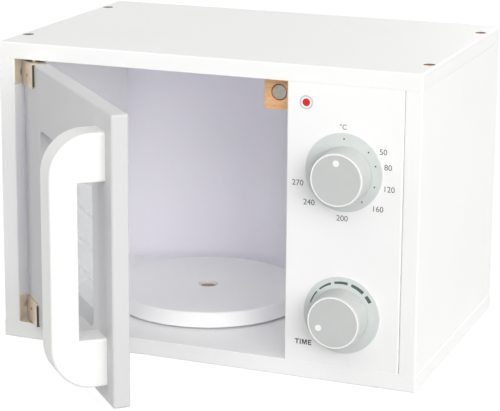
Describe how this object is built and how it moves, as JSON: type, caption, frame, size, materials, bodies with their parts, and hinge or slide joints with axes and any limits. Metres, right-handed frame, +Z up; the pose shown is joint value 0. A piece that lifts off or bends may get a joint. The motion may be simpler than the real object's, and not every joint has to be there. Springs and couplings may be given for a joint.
{
  "type": "toy microwave",
  "caption": "White painted board toy microwave with a hinged grey window door, C-shaped handle, magnet catch, turntable and two turning knobs.",
  "frame": {"origin": "middle of the base panel's underside, where the microwave stands", "axes": "+X to the right seen from the front, +Y to the back, +Z up"},
  "size_m": [0.2908, 0.3303, 0.204],
  "materials": {
    "white_painted_board": "satin white lacquer on board",
    "white_painted_disc": "satin white lacquer on board",
    "grey_painted_board": "satin grey lacquer on board",
    "white_painted_handle": "satin white lacquer on wood",
    "natural_beech": "sanded, clear lacquer",
    "clear_pane": "clear acrylic sheet",
    "nickel_plated_steel": "nickel plated",
    "browned_steel": "browned",
    "zinc_plated_steel": "zinc plated",
    "magnet_steel": "ground",
    "white_nylon": "matt",
    "grey_dial": "satin",
    "grey_knob": "satin"
  },
  "bodies": {
    "cabinet": {"base_panel": "white_painted_board", "top_panel": "white_painted_board", "left_side_panel": "white_painted_board", "right_side_panel": "white_painted_board", "back_panel": "white_painted_board", "partition_panel": "white_painted_board", "control_panel": "white_painted_board", "top_screws": "browned_steel", "base_screws": "browned_steel", "panel_dowels": "natural_beech", "magnet_block": "natural_beech", "magnet_block_screw": "zinc_plated_steel", "catch_magnet": "magnet_steel", "turntable_spindle": "natural_beech", "turntable_washer": "white_nylon", "upper_hinge_cabinet_leaf": "nickel_plated_steel", "lower_hinge_cabinet_leaf": "nickel_plated_steel", "upper_hinge_washer": "nickel_plated_steel", "lower_hinge_washer": "nickel_plated_steel", "hinge_cabinet_screws": "nickel_plated_steel", "temperature_dial_disc": "grey_dial", "timer_dial_disc": "grey_dial", "temperature_knob_washer": "zinc_plated_steel", "timer_knob_washer": "zinc_plated_steel"},
    "door": {"door_board": "grey_painted_board", "window_pane": "clear_pane", "window_pane_screws": "zinc_plated_steel", "door_handle": "white_painted_handle", "handle_screws": "zinc_plated_steel", "door_keeper": "zinc_plated_steel", "upper_hinge_door_leaf": "nickel_plated_steel", "lower_hinge_door_leaf": "nickel_plated_steel", "upper_hinge_pin": "nickel_plated_steel", "lower_hinge_pin": "nickel_plated_steel", "hinge_door_screws": "nickel_plated_steel"},
    "turntable": {"turntable_disc": "white_painted_disc"},
    "temperature_knob_body": {"temperature_knob": "grey_knob", "temperature_knob_screw": "zinc_plated_steel"},
    "timer_knob_body": {"timer_knob": "grey_knob", "timer_knob_screw": "zinc_plated_steel"}
  },
  "joints": [
    {"name": "door_hinge", "type": "hinge", "parent": "cabinet", "child": "door", "pos_m": [-0.1201, -0.0885, 0.102], "axis": [0, 0, 1], "range_deg": [-53, 47]},
    {"name": "turntable_spin", "type": "hinge", "parent": "cabinet", "child": "turntable", "pos_m": [-0.03375, 0, 0.018], "axis": [0, 0, 1], "continuous": true},
    {"name": "temperature_knob_turn", "type": "hinge", "parent": "cabinet", "child": "temperature_knob_body", "pos_m": [0.0965, -0.103, 0.1371], "axis": [0, 1, 0], "continuous": true},
    {"name": "timer_knob_turn", "type": "hinge", "parent": "cabinet", "child": "timer_knob_body", "pos_m": [0.096, -0.103, 0.0453], "axis": [0, 1, 0], "continuous": true}
  ]
}
